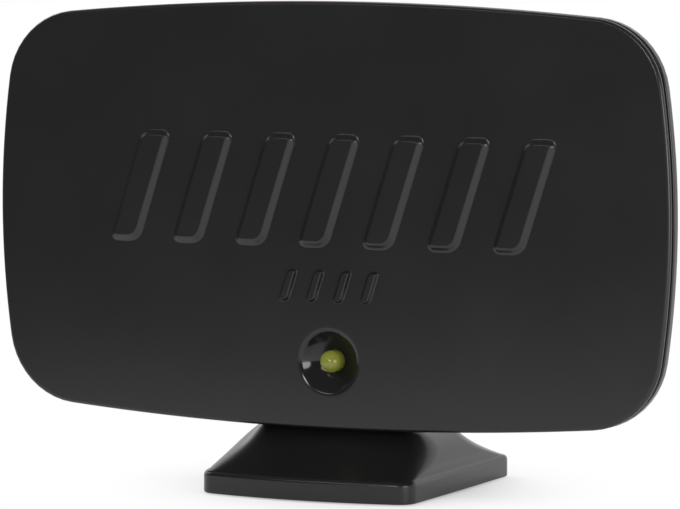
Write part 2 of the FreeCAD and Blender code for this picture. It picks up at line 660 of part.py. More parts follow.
def pad(place, clearance, height):
    """A flat block under the stand, or the seat for it."""
    width = FOOT_WIDTH + 2 * clearance
    length = FOOT_LENGTH + 2 * clearance
    return Part.makeBox(width, length, height, place - V(width / 2, length / 2, 0))


def make_foot_pad(place):
    """Rubber foot, set into the base plate."""
    return pad(place, 0, FOOT_THICKNESS)


def export(name, shape):
    """Writes one node; a list becomes a group of separate solids."""
    shape = Part.makeCompound(shape) if isinstance(shape, list) else shape
    if not shape.isValid():
        raise ValueError(name + " is not a valid shape")
    shape.exportStep(os.path.join("parts", name + ".step"))
    print(name, len(shape.Solids), "solid(s)", round(shape.Volume), "mm3")


os.makedirs("parts", exist_ok=True)
export("front_cover", make_front_cover())
export("rear_cover", make_rear_cover())
export("screws", make_screws())
export("led_lens", make_led_lens())
export("led_leads", make_led_leads())
export("circuit_board", make_circuit_board())
export("shield_can", make_shield_can())
export("amplifier_chip", make_amplifier_chip())
export("balun_core", make_balun_core())
export("chip_parts", make_chip_parts())
export("dipole_plate_left", make_dipole_plate(-1))
export("dipole_plate_right", make_dipole_plate(1))
export("coax_body", make_coax_body())
export("coax_insulator", make_coax_insulator())
export("coax_contact", make_coax_contact())
export("coax_nut", make_coax_nut())
export("stand_body", make_stand_body())
export("base_plate", make_base_plate())
export("ballast_weight", make_ballast_weight())
for corner_name, corner_place in FOOT_PLACES.items():
    export("foot_pad_" + corner_name, make_foot_pad(corner_place))
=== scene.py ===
# %% [markdown]
# # Dressing an indoor TV antenna
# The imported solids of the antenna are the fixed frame: a flat moulded panel with a lamp in a round dish,
# on a low flared stand. This lesson builds smooth, detailed pieces round that frame, gives every piece a
# finish made of shader nodes, and sets up the studio. All lengths are metres, +Z is up, and the panel's
# face looks along -Y.

# %% Load the frame
import math

import bmesh
import bpy
from mathutils import Matrix, Vector


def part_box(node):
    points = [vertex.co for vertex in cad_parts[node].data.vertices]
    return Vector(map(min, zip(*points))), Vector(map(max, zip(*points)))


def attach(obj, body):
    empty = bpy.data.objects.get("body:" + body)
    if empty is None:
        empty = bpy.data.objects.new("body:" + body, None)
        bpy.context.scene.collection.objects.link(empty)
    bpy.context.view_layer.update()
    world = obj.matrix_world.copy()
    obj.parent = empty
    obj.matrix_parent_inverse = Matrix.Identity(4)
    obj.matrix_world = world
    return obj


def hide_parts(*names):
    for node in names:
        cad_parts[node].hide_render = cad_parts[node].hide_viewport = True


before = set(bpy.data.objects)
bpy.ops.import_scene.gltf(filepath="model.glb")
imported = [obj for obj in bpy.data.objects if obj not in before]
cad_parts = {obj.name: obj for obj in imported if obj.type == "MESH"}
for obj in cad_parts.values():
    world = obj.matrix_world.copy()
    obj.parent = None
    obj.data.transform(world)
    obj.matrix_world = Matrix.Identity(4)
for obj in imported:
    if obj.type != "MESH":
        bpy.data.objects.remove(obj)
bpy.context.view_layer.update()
MM = 0.001
print("frame nodes:", len(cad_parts))

# %% [markdown]
# ## Measures
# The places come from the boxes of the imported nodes, so that the looks can't drift from the solids. A few
# driving sizes that a box doesn't tell, such as radii and wall thicknesses, are written down once, here or
# at the top of the cell that uses them.

# %% Read the places from the frame
RELIEF_HEIGHT = 0.9 * MM
COVER_WALL = 2.0 * MM
front_low, front_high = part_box("front_cover")
rear_low, rear_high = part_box("rear_cover")
face_y = front_low.y + RELIEF_HEIGHT
panel_half_width = (front_high.x - front_low.x) / 2
panel_half_height = (front_high.z - front_low.z) / 2
panel_z = (front_high.z + front_low.z) / 2
back_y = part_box("coax_nut")[0].y
neck_z = rear_low.z
print("panel (mm):", [round(2 * half / MM, 1) for half in (panel_half_width, panel_half_height)])

# %% [markdown]
# ## A finishing helper
# Every bmesh ends the same way: doubles are merged, normals are turned outwards, faces are shaded smooth
# and edges sharper than a set angle are kept crisp. A Weighted Normal modifier then lets the large flat
# faces win, which is how a real moulding reflects: flat faces stay flat and only the edges roll.

# %% Helper: turn a bmesh into a piece of the antenna
MERGE = 1e-7
CREASE = math.radians(40)
FLAT_FACE_WEIGHT = 100


def add_piece(bm, name, material, stands_for=()):
    """Makes one finished object that rides on the frame."""
    bmesh.ops.remove_doubles(bm, verts=bm.verts, dist=MERGE)
    bmesh.ops.recalc_face_normals(bm, faces=bm.faces)
    loose = sum(not edge.is_manifold for edge in bm.edges)
    for edge in bm.edges:
        edge.smooth = edge.calc_face_angle(0) < CREASE
    for face in bm.faces:
        face.smooth = True
    mesh = bpy.data.meshes.new(name)
    bm.to_mesh(mesh)
    bm.free()
    mesh.materials.append(material)
    piece = bpy.data.objects.new(name, mesh)
    bpy.context.scene.collection.objects.link(piece)
    weighted = piece.modifiers.new("flat faces win", "WEIGHTED_NORMAL")
    weighted.keep_sharp = True
    weighted.weight = FLAT_FACE_WEIGHT
    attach(piece, "root")
    if stands_for:
        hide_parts(*stands_for)
    print(name, "faces:", len(mesh.polygons), "edges not between two faces:", loose)
    return piece


# %% [markdown]
# ## Finishes
# Moulded black plastic is never one flat colour. The tool's surface leaves a very fine grain, and handling
# changes the gloss in broad soft patches. Two noise textures on Object coordinates do this: a fine one
# drives a faint bump, and a broad one moves the roughness and the colour a little. The same helper makes
# the metals and the rubber with other numbers.

# %% Helper: a finish with fine grain and patchy gloss
PATCHES_PER_M = 45
PATCH_DETAIL = 4
GRAIN_DETAIL = 3
BUMP_STRENGTH = 0.35


def make_finish(name, colour, roughness, patchiness, grain_per_m, grain_depth, metallic=0.0, mottle=0.25):
    """Principled material: broad noise on the roughness and colour, fine noise as bump."""
    material = bpy.data.materials.new(name)
    material.use_nodes = True
    nodes, links = material.node_tree.nodes, material.node_tree.links
    shader = nodes["Principled BSDF"]
    shader.inputs["Metallic"].default_value = metallic
    place = nodes.new("ShaderNodeTexCoord")
    patches = nodes.new("ShaderNodeTexNoise")
    patches.inputs["Scale"].default_value = PATCHES_PER_M
    patches.inputs["Detail"].default_value = PATCH_DETAIL
    links.new(place.outputs["Object"], patches.inputs["Vector"])
    gloss = nodes.new("ShaderNodeMapRange")
    gloss.inputs["To Min"].default_value = roughness - patchiness
    gloss.inputs["To Max"].default_value = roughness + patchiness
    links.new(patches.outputs["Fac"], gloss.inputs["Value"])
    links.new(gloss.outputs["Result"], shader.inputs["Roughness"])
    tint = nodes.new("ShaderNodeValToRGB")
    tint.color_ramp.elements[0].color = (*[part * (1 - mottle) for part in colour], 1)
    tint.color_ramp.elements[1].color = (*[part * (1 + mottle) for part in colour], 1)
    links.new(patches.outputs["Fac"], tint.inputs["Fac"])
    links.new(tint.outputs["Color"], shader.inputs["Base Color"])
    grain = nodes.new("ShaderNodeTexNoise")
    grain.inputs["Scale"].default_value = grain_per_m
    grain.inputs["Detail"].default_value = GRAIN_DETAIL
    links.new(place.outputs["Object"], grain.inputs["Vector"])
    bump = nodes.new("ShaderNodeBump")
    bump.inputs["Strength"].default_value = BUMP_STRENGTH
    bump.inputs["Distance"].default_value = grain_depth
    links.new(grain.outputs["Fac"], bump.inputs["Height"])
    links.new(bump.outputs["Normal"], shader.inputs["Normal"])
    return material


# %% Mix the finishes: colour, roughness, patchiness, grain per metre, grain depth, metallic, mottle
black_plastic = make_finish("panel black", (0.0085, 0.0085, 0.0091), 0.25, 0.03, 2600, 0.007 * MM)
stand_black = make_finish("stand black", (0.0062, 0.0062, 0.0066), 0.25, 0.03, 2600, 0.006 * MM)
dish_black = make_finish("polished dish black", (0.007, 0.007, 0.0075), 0.14, 0.02, 1800, 0.002 * MM)
nickel = make_finish("nickel plating", (0.62, 0.6, 0.56), 0.22, 0.06, 3000, 0.004 * MM, 1.0, 0.06)
tin = make_finish("tin plating", (0.62, 0.62, 0.6), 0.38, 0.08, 2500, 0.01 * MM, 1.0, 0.08)
zinc = make_finish("zinc screw steel", (0.36, 0.36, 0.37), 0.34, 0.07, 2500, 0.008 * MM, 1.0, 0.1)
brass = make_finish("brass contact", (0.7, 0.52, 0.22), 0.3, 0.05, 2500, 0.004 * MM, 1.0, 0.08)
sheet = make_finish("radiator sheet", (0.7, 0.71, 0.72), 0.32, 0.06, 1500, 0.01 * MM, 1.0, 0.05)
steel = make_finish("ballast steel", (0.3, 0.3, 0.3), 0.45, 0.1, 1200, 0.02 * MM, 1.0, 0.15)
white_plastic = make_finish("white insulator", (0.75, 0.74, 0.7), 0.4, 0.05, 2200, 0.006 * MM, 0.0, 0.04)
rubber = make_finish("foot rubber", (0.02, 0.02, 0.02), 0.75, 0.08, 3000, 0.03 * MM, 0.0, 0.2)
laminate = make_finish("green board", (0.02, 0.12, 0.05), 0.4, 0.05, 1800, 0.006 * MM, 0.0, 0.15)
chip_plastic = make_finish("chip package", (0.015, 0.015, 0.015), 0.6, 0.06, 3000, 0.01 * MM)
ceramic = make_finish("ceramic", (0.3, 0.2, 0.12), 0.5, 0.06, 2500, 0.006 * MM, 0.0, 0.1)
ferrite = make_finish("sintered ferrite", (0.03, 0.03, 0.032), 0.55, 0.08, 2200, 0.02 * MM)
resin = make_finish("yellow green resin", (0.16, 0.172, 0.022), 0.1, 0.02, 900, 0.004 * MM, 0.0, 0.12)
print("finishes:", len(bpy.data.materials))

# %% [markdown]
# ## The bowed outline
# Panel and stand share one kind of outline: four shallow arcs that run smoothly into round corners. It
# could be typed in as points, but turning one vertex about the centre of each arc draws a quarter exactly,
# and two mirrors complete it. The corner's centre lies where it touches both arcs from inside.

# %% Helpers: list edges, turn a vertex, draw a bowed outline
ARC_STEPS = dict(side=8, corner=10, end=14)


def edges_at(vertices):
    """The edges that meet these vertices, each once, in the order of the vertices."""
    return list(dict.fromkeys(edge for vertex in vertices for edge in vertex.link_edges))


def turn_vertex(bm, vertex, centre, axis, angle, steps):
    """Draws an arc by spinning one vertex, and returns the arc's far end."""
    made = bmesh.ops.spin(bm, geom=[vertex], cent=centre, axis=axis, angle=angle, steps=steps)
    return made["geom_last"][0]


def bowed_outline(bm, half_width, half_height, side_radius, end_radius, corner_radius, place):
    """A closed loop of edges, drawn flat about the origin and moved to its place."""
    older = set(bm.verts)
    side_x, end_y = half_width - side_radius, half_height - end_radius
    to_side, to_end = side_radius - corner_radius, end_radius - corner_radius
    span = math.hypot(side_x, end_y)
    along = (to_side ** 2 - to_end ** 2 + span ** 2) / (2 * span)
    off = math.sqrt(to_side ** 2 - along ** 2)
    corner_x = side_x - (along * side_x + off * end_y) / span
    corner_y = (along * end_y - off * side_x) / span
    side_turn = math.atan2(corner_y, corner_x - side_x)
    end_turn = math.atan2(corner_y - end_y, corner_x)
    up = (0, 0, 1)
    tip = bm.verts.new((half_width, 0, 0))
    tip = turn_vertex(bm, tip, (side_x, 0, 0), up, side_turn, ARC_STEPS["side"])
    tip = turn_vertex(bm, tip, (corner_x, corner_y, 0), up, end_turn - side_turn, ARC_STEPS["corner"])
    turn_vertex(bm, tip, (0, end_y, 0), up, math.pi / 2 - end_turn, ARC_STEPS["end"])
    for axis in "XY":
        drawn = [vertex for vertex in bm.verts if vertex not in older]
        bmesh.ops.mirror(bm, geom=drawn + edges_at(drawn), axis=axis, merge_dist=MERGE)
    drawn = [vertex for vertex in bm.verts if vertex not in older]
    bmesh.ops.transform(bm, matrix=place, verts=drawn)
    return edges_at(drawn)


# %% Helper: the panel's outline at a depth behind its face
PANEL_SIDE_RADIUS = 209 * MM
PANEL_END_RADIUS = 725 * MM
PANEL_CORNER_RADIUS = 17.4 * MM
FACING_VIEWER = Matrix.Rotation(math.pi / 2, 4, "X")


def panel_face(bm, depth):
    """A flat face of the panel's outline."""
    place = Matrix.Translation((0, face_y + depth, panel_z)) @ FACING_VIEWER
    loop = bowed_outline(bm, panel_half_width, panel_half_height, PANEL_SIDE_RADIUS, PANEL_END_RADIUS,
                         PANEL_CORNER_RADIUS, place)
    return bmesh.ops.contextual_create(bm, geom=loop)["faces"][0]


# %% [markdown]
# ## Working on flat faces
# The mouldings are made as one would cut them: a face is pushed to a new depth, its rim is rounded, an
# inset leaves a wall. Holes come last. The flat face is taken out, a turned shape is set in the gap, and
# the face is filled again between its outer edge and the hole, which keeps the rounded rim untouched.

# %% Helpers: find, push, inset, round and pierce flat faces
FLAT = 1e-6


def face_at(bm, y):
    """The largest face that lies flat at a depth y."""
    flat = [face for face in bm.faces if all(abs(vertex.co.y - y) < FLAT for vertex in face.verts)]
    return max(flat, key=lambda face: face.calc_area())


def push(bm, face, shift_y):
    """Extrudes a face along Y and returns the moved face."""
    made = bmesh.ops.extrude_face_region(bm, geom=[face, *face.edges])["geom"]
    moved = [item for item in made if isinstance(item, bmesh.types.BMVert)]
    bmesh.ops.translate(bm, verts=moved, vec=(0, shift_y, 0))
    return next(item for item in made if isinstance(item, bmesh.types.BMFace))


def inset(bm, face, thickness, shift_y=0.0):
    """Insets a flat face evenly, moves what is left of it along Y and returns it."""
    bm.normal_update()
    bmesh.ops.inset_region(bm, faces=[face], thickness=thickness, use_even_offset=True, use_boundary=True)
    bmesh.ops.translate(bm, verts=face.verts, vec=(0, shift_y, 0))
    return face


def round_edges(bm, edges, radius, segments):
    """Rounds a set of edges."""
    bmesh.ops.bevel(bm, geom=list(edges), offset=radius, segments=segments, profile=0.5, affect="EDGES",
                    material=-1)


def pierce(bm, face, loops):
    """Replaces a flat face by one with holes."""
    rim = list(face.edges)
    bmesh.ops.delete(bm, geom=[face], context="FACES_ONLY")
    bmesh.ops.triangle_fill(bm, use_beauty=True, edges=rim + [edge for loop in loops for edge in loop])


# %% [markdown]
# ## Turned shapes
# The lamp, its dish, the screws and the socket are all round. Each is drawn as half of its section, a few
# vertices joined by edges, with the corners rounded by a vertex bevel, and spun once about its axis.

# %% Helpers: draw a section and spin it
AROUND = 64


def draw_section(bm, centre, points):
    """Joins points of (distance from the axis, depth y) in the plane right of an axis along Y."""
    line = [bm.verts.new((centre.x + distance, y, centre.z)) for distance, y in points]
    for start, end in zip(line, line[1:]):
        bm.edges.new((start, end))
    return line


def round_corners(bm, vertices, radius, segments):
    """Rounds corners of a section or of a flat face."""
    bmesh.ops.bevel(bm, geom=vertices, offset=radius, segments=segments, profile=0.5, affect="VERTICES",
                    material=-1)


def spin_section(bm, centre, older=()):
    """Spins what was drawn after the older vertices once round an axis along Y."""
    drawn = [vertex for vertex in bm.verts if vertex not in older]
    bmesh.ops.spin(bm, geom=drawn + edges_at(drawn), cent=centre, axis=(0, 1, 0), angle=2 * math.pi,
                   steps=AROUND, use_merge=True)
    return [vertex for vertex in bm.verts if vertex not in older]


def ring_at(vertices, y):
    """The edges of a spun shape that lie in the plane at y and bound it."""
    return [edge for edge in edges_at(vertices) if edge.is_boundary
            and all(abs(vertex.co.y - y) < FLAT for vertex in edge.verts)]


# %% [markdown]
# ## Front cover
# The front is one shallow moulding with a soft edge all round. Near the bottom a polished bowl is sunk
# into it for the lamp. The bowl's section follows a ball: one vertex is turned about the ball's centre,
# then the section runs on down the lamp's hole and back round the outside of the cup.

# %% Front cover: the shell
FRONT_DEPTH = 1.2 * MM
FRONT_EDGE_RADIUS = 0.8 * MM
FRONT_BACK_RADIUS = 0.2 * MM
front = bmesh.new()
push(front, panel_face(front, 0), FRONT_DEPTH)
round_edges(front, face_at(front, face_y).edges, FRONT_EDGE_RADIUS, segments=7)
round_edges(front, face_at(front, face_y + FRONT_DEPTH).edges, FRONT_BACK_RADIUS, segments=3)
inset(front, face_at(front, face_y + FRONT_DEPTH), COVER_WALL)
push(front, face_at(front, face_y + FRONT_DEPTH), COVER_WALL - FRONT_DEPTH)
print("front shell faces:", len(front.faces))

# %% Front cover: measure the lamp and its dish
DISH_RADIUS = 6.9 * MM
DISH_DEPTH = 3.4 * MM
DISH_LIP = 0.55 * MM
LAMP_GAP = 0.15 * MM
lamp_low, lamp_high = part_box("led_lens")
lamp_radius = (lamp_high.x - lamp_low.x) / 2
lamp_centre = Vector(((lamp_low.x + lamp_high.x) / 2, face_y, (lamp_low.z + lamp_high.z) / 2))
hole_radius = lamp_radius + LAMP_GAP
ball_radius = (DISH_RADIUS ** 2 + DISH_DEPTH ** 2) / (2 * DISH_DEPTH)
ball_centre = lamp_centre + Vector((0, DISH_DEPTH - ball_radius, 0))
bowl_start = math.asin((DISH_RADIUS - DISH_LIP) / ball_radius)
bowl_end = math.asin(hole_radius / ball_radius)
bowl_top = ball_centre.y + ball_radius * math.cos(bowl_start)
print("lamp (mm):", round(2 * lamp_radius / MM, 2), "ball radius (mm):", round(ball_radius / MM, 2))

# %% Front cover: draw and spin the dish
DISH_WALL = 1.6 * MM
DISH_LIP_RADIUS = 0.65 * MM
BOWL_STEPS = 14
cup_y = face_y + DISH_DEPTH + DISH_WALL
shell_vertices = set(front.verts)
lip = draw_section(front, lamp_centre, [
    (DISH_RADIUS + 3 * DISH_LIP, face_y), (DISH_RADIUS + DISH_LIP / 4, face_y),
    (DISH_RADIUS - DISH_LIP, bowl_top)])
bowl_tip = turn_vertex(front, lip[2], ball_centre, (0, 0, 1), bowl_start - bowl_end, BOWL_STEPS)
cup = draw_section(front, lamp_centre, [
    (hole_radius, cup_y), (DISH_RADIUS, cup_y), (DISH_RADIUS, face_y + COVER_WALL)])
front.edges.new((bowl_tip, cup[0]))
round_corners(front, [lip[1]], DISH_LIP_RADIUS, segments=7)
dish = spin_section(front, lamp_centre, shell_vertices)
print("bowl depth (mm):", round((bowl_tip.co.y - face_y) / MM, 2))

# %% Front cover: set the dish into the face and polish it
POLISH_REACH = DISH_RADIUS + 2 * DISH_LIP
POLISH_START = face_y + 0.03 * MM
pierce(front, face_at(front, face_y), [ring_at(dish, face_y)])
pierce(front, face_at(front, face_y + COVER_WALL), [ring_at(dish, face_y + COVER_WALL)])
front_cover = add_piece(front, "front_shell", black_plastic, ["front_cover"])
front_cover.data.materials.append(dish_black)
for polygon in front_cover.data.polygons:
    reach = math.hypot(polygon.center.x - lamp_centre.x, polygon.center.z - lamp_centre.z)
    polygon.material_index = int(reach < POLISH_REACH and polygon.center.y > POLISH_START)

# %% [markdown]
# ## Raised relief
# The face carries a row of raised slanted bars over a short row of small ones, with soft flanks like those
# of an embossed sheet. A bar could be a cube with bevelled edges, but a bevel has hard ends. Here each bar
# starts as a leaning face with rounded corners, just under the panel's face, and a series of insets lifts
# it along an S-shaped curve, which flows out of the face and into the top.

# %% Helpers: one leaning bar and a row of them
RELIEF_LEAN = math.tan(math.radians(18))
RELIEF_SUNK = 0.05 * MM
CORNER_PER_RUN = 1.65
FLANK_RISES = 8


def relief_bar(bm, x, z, width, height, run):
    """One raised bar; its flank rises over a run of this width."""
    lean = Matrix.Identity(4)
    lean[0][1] = RELIEF_LEAN
    place = Matrix.Translation((x, face_y + RELIEF_SUNK, z)) @ FACING_VIEWER
    corners = bmesh.ops.create_grid(bm, x_segments=1, y_segments=1, size=0.5,
                                    matrix=place @ lean @ Matrix.Diagonal((width, height, 1, 1)))["verts"]
    older = set(bm.faces) - {corners[0].link_faces[0]}
    round_corners(bm, corners, CORNER_PER_RUN * run, segments=6)
    base = next(face for face in bm.faces if face not in older)
    top = push(bm, base, -RELIEF_SUNK)
    risen = 0.0
    for step in range(1, FLANK_RISES + 1):
        share = step / FLANK_RISES
        rise = RELIEF_HEIGHT * share ** 2 * (3 - 2 * share)
        inset(bm, top, run / FLANK_RISES, risen - rise)
        risen = rise


def relief_row(bm, count, pitch, above_middle, width, height, run):
    """An even row of bars, centred over the lamp."""
    for step in range(count):
        x = lamp_centre.x + pitch * (step - (count - 1) / 2)
        relief_bar(bm, x, panel_z + above_middle, width, height, run)


# %% Relief: a row of large bars and a row of small ones
relief = bmesh.new()
relief_row(relief, count=7, pitch=15.6 * MM, above_middle=5.6 * MM, width=8 * MM, height=25.5 * MM,
           run=1.6 * MM)
relief_row(relief, count=4, pitch=6.6 * MM, above_middle=-15.6 * MM, width=2.8 * MM, height=7.6 * MM,
           run=0.75 * MM)
add_piece(relief, "raised_relief", black_plastic, ["front_cover"])

# %% [markdown]
# ## Rear cover
# Behind a dark parting groove lies the rear moulding: a flange of the same outline, a lip that reaches up
# to the front cover, and a drafted box for the amplifier. An inset with a depth makes a drafted wall in
# one move. The corners at the root and the rim are then rounded.

# %% Rear cover: flange and raised back
GROOVE_WIDTH = 1.4 * MM
FLANGE_THICKNESS = 3 * MM
FLANGE_FRONT_RADIUS = 0.4 * MM
FLANGE_BACK_RADIUS = 1.2 * MM
BACK_INSET = 9 * MM
BACK_DRAFT = 4.5 * MM
BACK_EDGE_RADIUS = 3 * MM
BACK_ROOT_RADIUS = 0.8 * MM
flange_front = FRONT_DEPTH + GROOVE_WIDTH
flange_back = flange_front + FLANGE_THICKNESS
rear = bmesh.new()
push(rear, panel_face(rear, flange_front), FLANGE_THICKNESS)
round_edges(rear, face_at(rear, face_y + flange_front).edges, FLANGE_FRONT_RADIUS, segments=3)
round_edges(rear, face_at(rear, face_y + flange_back).edges, FLANGE_BACK_RADIUS, segments=6)
raised = inset(rear, face_at(rear, face_y + flange_back), BACK_INSET)
root_edges = list(raised.edges)
inset(rear, raised, BACK_DRAFT, back_y - face_y - flange_back)
round_edges(rear, face_at(rear, back_y).edges, BACK_EDGE_RADIUS, segments=6)
round_edges(rear, [edge for edge in root_edges if edge.is_valid], BACK_ROOT_RADIUS, segments=3)
print("rear box depth (mm):", round((back_y - face_y) / MM, 1))

# %% Rear cover: raise the lip and hollow the inside
LIP_INSET = 2.4 * MM
LIP_THICKNESS = 1.2 * MM
lip_length = flange_front - COVER_WALL
inner_y = back_y - COVER_WALL
lip_face = inset(rear, face_at(rear, face_y + flange_front), LIP_INSET)
lip_face = push(rear, lip_face, -lip_length)
inside = push(rear, inset(rear, lip_face, LIP_THICKNESS), lip_length)
inside = inset(rear, inside, BACK_INSET + COVER_WALL - LIP_INSET - LIP_THICKNESS)
inset(rear, inside, BACK_DRAFT, inner_y - face_y - flange_front)
print("rear shell faces:", len(rear.faces))

# %% Rear cover: holes for the screws and the socket
CASE_SCREW = dict(head_radius=2.7 * MM, head_height=1.5 * MM, shank_radius=1.3 * MM, length=12 * MM)
SINK_RADIUS = 2.9 * MM
SINK_DEPTH = 1.5 * MM
SCREW_HOLE_RADIUS = 1.5 * MM
SOCKET_HOLE_RADIUS = 4.85 * MM
case_screw_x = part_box("screws")[1].x - CASE_SCREW["head_radius"]
insulator_low, insulator_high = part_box("coax_insulator")
socket_centre = Vector((0, back_y, (insulator_low.z + insulator_high.z) / 2))
hole_sections = [(Vector((side * case_screw_x, back_y, panel_z)), [
    (SINK_RADIUS, back_y), (SCREW_HOLE_RADIUS, back_y - SINK_DEPTH), (SCREW_HOLE_RADIUS, inner_y)])
    for side in (-1, 1)]
hole_sections.append((socket_centre, [(SOCKET_HOLE_RADIUS, back_y), (SOCKET_HOLE_RADIUS, inner_y)]))
outer_rings, inner_rings = [], []
for centre, section in hole_sections:
    older = set(rear.verts)
    draw_section(rear, centre, section)
    hole = spin_section(rear, centre, older)
    outer_rings.append(ring_at(hole, back_y))
    inner_rings.append(ring_at(hole, inner_y))
pierce(rear, face_at(rear, back_y), outer_rings)
pierce(rear, face_at(rear, inner_y), inner_rings)
add_piece(rear, "rear_shell", black_plastic, ["rear_cover"])

# %% [markdown]
# ## Foot wedge
# The rear cover grows a wedge below the box, which stands on the stand's neck. Five corners of its side
# view are joined to a face, the face is extruded across, and the outer edges are rounded.

# %% Foot wedge under the raised back
WEDGE_WIDTH = 36 * MM
WEDGE_STEP = 3 * MM
WEDGE_TOP = 36 * MM
WEDGE_OVERLAP = 0.5 * MM
WEDGE_EDGE_RADIUS = 1.5 * MM
wedge_front = face_y + flange_back - WEDGE_OVERLAP
wedge = bmesh.new()
side_view = [
    (wedge_front, neck_z), (rear_high.y, neck_z), (rear_high.y, neck_z + WEDGE_STEP), (back_y, WEDGE_TOP),
    (wedge_front, WEDGE_TOP)]
corners = [wedge.verts.new((-WEDGE_WIDTH / 2, y, z)) for y, z in side_view]
cheek = bmesh.ops.contextual_create(wedge, geom=corners)["faces"][0]
made = bmesh.ops.extrude_face_region(wedge, geom=[cheek])["geom"]
moved = [item for item in made if isinstance(item, bmesh.types.BMVert)]
bmesh.ops.translate(wedge, verts=moved, vec=(WEDGE_WIDTH, 0, 0))
outer_edges = [edge for edge in wedge.edges if all(vertex.co.y > back_y - FLAT for vertex in edge.verts)]
round_edges(wedge, outer_edges, WEDGE_EDGE_RADIUS, segments=5)
add_piece(wedge, "foot_wedge", black_plastic, ["rear_cover"])

# %% [markdown]
# ## Stand
# The stand is a low moulding: an upright rim with a bowed front, concave front and back, sides that swell,
# ridges that are softest at mid height, and a neck under the panel. One level after another is drawn with
# the bowed outline, and neighbouring levels are bridged, which is what a loft does. The inside is bridged
# in the same way, one wall smaller.

# %% Stand: the outline at each level
STAND_BOW_RADIUS = 110 * MM
STAND_SIDE_RADIUS = 4000 * MM
RIM_CORNER_RADIUS = 4.2 * MM
RIDGE_RADIUS = 10 * MM
SMALLEST_CORNER = 0.6 * MM
NECK_HALF_WIDTH = 19.5 * MM
NECK_FRONT = 14.5 * MM
NECK_BACK = 11.5 * MM
FRONT_FLARE = 1.2
BACK_FLARE = 1.5
SIDE_SWELL = 2.8
SIDE_LEDGE = 0.7 * MM
stand_low, stand_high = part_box("stand_body")


def stand_level(bm, share, height, wall):
    """The stand's outline at a height; share runs from 0 at the rim to 1 at the neck."""
    ledge = SIDE_LEDGE if share else 0
    swell = (stand_high.x - ledge - NECK_HALF_WIDTH) * (1 - share ** SIDE_SWELL)
    half_width = NECK_HALF_WIDTH + swell - wall
    front_reach = NECK_FRONT + (stand_high.y - NECK_FRONT) * (1 - share) ** FRONT_FLARE
    back_reach = NECK_BACK + (stand_high.y - NECK_BACK) * (1 - share) ** BACK_FLARE
    half_length = (front_reach + back_reach) / 2 - wall
    bow = STAND_BOW_RADIUS - stand_high.y + half_length
    corner = RIM_CORNER_RADIUS + (RIDGE_RADIUS - RIM_CORNER_RADIUS) * math.sin(math.pi * share) - wall
    place = Matrix.Translation((0, (back_reach - front_reach) / 2, height))
    return bowed_outline(bm, half_width, half_length, STAND_SIDE_RADIUS, bow, max(corner, SMALLEST_CORNER),
                         place)


# %% Stand: bridge the levels
RIM_EDGE = 5.0 * MM
RIM_INSIDE = 3.4 * MM
RIM_TOP_RADIUS = 0.75 * MM
RIM_BOTTOM_RADIUS = 0.4 * MM
LEDGE_SHARE = 0.05
FLANK_STEPS = 16
STAND_WALL = 2 * MM
ROOF = 3 * MM
stand = bmesh.new()
rim_bottom = stand_low.z
outside = [stand_level(stand, 0, rim_bottom, 0), stand_level(stand, 0, RIM_EDGE, 0)]
for share in [LEDGE_SHARE] + [step / FLANK_STEPS for step in range(2, FLANK_STEPS + 1)]:
    outside.append(stand_level(stand, share, RIM_EDGE + (neck_z - RIM_EDGE) * share, 0))
inside = [stand_level(stand, 0, rim_bottom, STAND_WALL), stand_level(stand, 0, RIM_INSIDE, STAND_WALL),
          stand_level(stand, 1, neck_z - ROOF, STAND_WALL)]
for levels in (outside, inside, [outside[0], inside[0]]):
    for lower, upper in zip(levels, levels[1:]):
        bmesh.ops.bridge_loops(stand, edges=lower + upper)
for top in (outside[-1], inside[-1]):
    bmesh.ops.contextual_create(stand, geom=top)
round_edges(stand, outside[1], RIM_TOP_RADIUS, segments=5)
round_edges(stand, outside[0], RIM_BOTTOM_RADIUS, segments=3)
add_piece(stand, "stand_shell", stand_black, ["stand_body"])

# %% [markdown]
# ## Lamp
# The lamp is an ordinary 5 mm indicator of tinted, cloudy resin. Its section is a rectangle whose front
# corner is rounded by nearly the full radius, which gives the dome, and it is spun about the lamp's axis.

# %% Lamp: the resin
LAMP_PROUD = 1.1 * MM
DOME_SHARE = 0.999
lamp = bmesh.new()
lamp_front = face_y - LAMP_PROUD
dome = draw_section(lamp, lamp_centre, [
    (0, lamp_front), (lamp_radius, lamp_front), (lamp_radius, lamp_high.y), (0, lamp_high.y)])
round_corners(lamp, [dome[1]], lamp_radius * DOME_SHARE, segments=14)
spin_section(lamp, lamp_centre)
add_piece(lamp, "lamp_resin", resin, ["led_lens"])

# %% [markdown]
# ## Aerial socket
# The socket is a nickel-plated barrel with a fine thread, held by a six-sided nut. The thread is a small
# triangle that is spun and moved along the axis at the same time. The nut is a six-cornered circle that is
# extruded, pierced and softened at its edges.

# %% Socket: the barrel
ROOT_RADIUS = 4.4 * MM
MOUTH_RADIUS = 0.35 * MM
body_low, body_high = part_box("coax_body")
bore_radius = (insulator_high.x - insulator_low.x) / 2
barrel = bmesh.new()
mouth = draw_section(barrel, socket_centre, [
    (bore_radius, body_low.y), (ROOT_RADIUS, body_low.y), (ROOT_RADIUS, body_high.y),
    (bore_radius, body_high.y)])
barrel.edges.new((mouth[3], mouth[0]))
round_corners(barrel, [mouth[2]], MOUTH_RADIUS, segments=3)
spin_section(barrel, socket_centre)
print("barrel faces:", len(barrel.faces))

